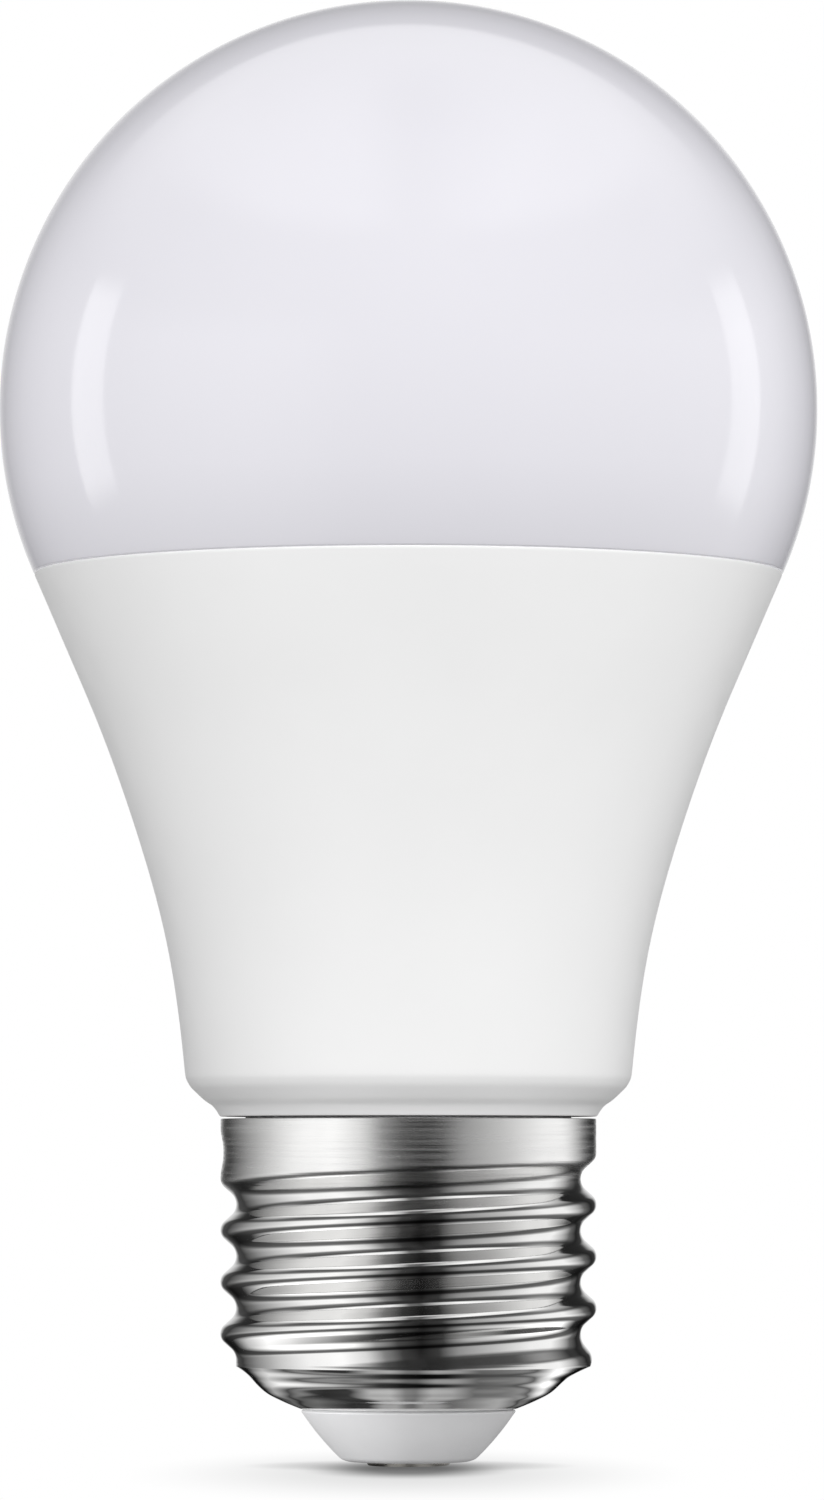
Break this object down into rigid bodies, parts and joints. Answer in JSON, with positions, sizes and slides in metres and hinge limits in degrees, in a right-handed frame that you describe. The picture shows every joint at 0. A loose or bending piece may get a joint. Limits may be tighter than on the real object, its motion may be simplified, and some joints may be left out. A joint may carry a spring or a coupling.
{
  "type": "smart LED light bulb",
  "caption": "Opal globe on a tapered white housing with an Edison screw cap, holding an LED board, driver circuit and wireless module.",
  "frame": {"origin": "middle of the centre contact's bottom face, the lowest point of the bulb", "axes": "+Z along the bulb's axis, from the contact towards the globe; +X to the right and +Y away, seen from the front"},
  "size_m": [0.0576, 0.0576, 0.1032],
  "materials": {
    "opal_plastic": "opal, satin gloss",
    "white_plastic": "smooth satin white",
    "nickel_plate": "nickel plated, brushed on the collar and bright on the thread",
    "insulator_plastic": "pale moulded plastic",
    "contact_metal": "plain tinned",
    "silicone": "cured silicone bead",
    "pressed_aluminium": "drawn, satin",
    "thermal_silicone": "soft matt pad",
    "white_solder_mask": "aluminium-core board under white solder mask",
    "screw_steel": "zinc plated",
    "white_phosphor": "phosphor under clear resin",
    "clear_resin": "white package with clear resin",
    "connector_plastic": "moulded natural",
    "header_plastic": "moulded black",
    "module_board": "blue solder mask",
    "shield_tin": "tinned sheet",
    "sleeve_plastic": "moulded natural",
    "driver_laminate": "bare laminate",
    "capacitor_sleeve": "shrink sleeve",
    "ferrite": "sintered",
    "bobbin_plastic": "moulded black",
    "winding_tape": "polyester tape",
    "enamelled_copper": "enamelled copper wire",
    "film_case": "dipped epoxy",
    "varistor_epoxy": "dipped epoxy",
    "resistor_lacquer": "lacquered ceramic",
    "chip_epoxy": "moulded epoxy",
    "live_insulation": "insulated wire",
    "tinned_copper": "tinned copper wire"
  },
  "bodies": {
    "root": {"diffuser": "opal_plastic", "diffuser_adhesive": "silicone", "housing": "white_plastic", "cap_shell": "nickel_plate", "cap_insulator": "insulator_plastic", "centre_contact": "contact_metal", "heat_sink_cup": "pressed_aluminium", "thermal_pad": "thermal_silicone", "led_board": "white_solder_mask", "board_screw_1": "screw_steel", "board_screw_2": "screw_steel", "white_led_01": "white_phosphor", "white_led_02": "white_phosphor", "white_led_03": "white_phosphor", "white_led_04": "white_phosphor", "white_led_05": "white_phosphor", "white_led_06": "white_phosphor", "white_led_07": "white_phosphor", "white_led_08": "white_phosphor", "white_led_09": "white_phosphor", "white_led_10": "white_phosphor", "white_led_11": "white_phosphor", "white_led_12": "white_phosphor", "colour_led_1": "clear_resin", "colour_led_2": "clear_resin", "colour_led_3": "clear_resin", "colour_led_4": "clear_resin", "led_socket": "connector_plastic", "led_header": "header_plastic", "wireless_board": "module_board", "wireless_shield": "shield_tin", "wireless_header": "header_plastic", "driver_sleeve": "sleeve_plastic", "driver_board": "driver_laminate", "input_capacitor": "capacitor_sleeve", "output_capacitor": "capacitor_sleeve", "transformer_core": "ferrite", "transformer_bobbin": "bobbin_plastic", "transformer_winding": "winding_tape", "choke_core": "ferrite", "choke_winding": "enamelled_copper", "film_capacitor": "film_case", "varistor": "varistor_epoxy", "fusible_resistor": "resistor_lacquer", "bridge_rectifier": "chip_epoxy", "driver_chip": "chip_epoxy", "live_lead": "live_insulation", "neutral_lead": "tinned_copper"}
  },
  "joints": []
}
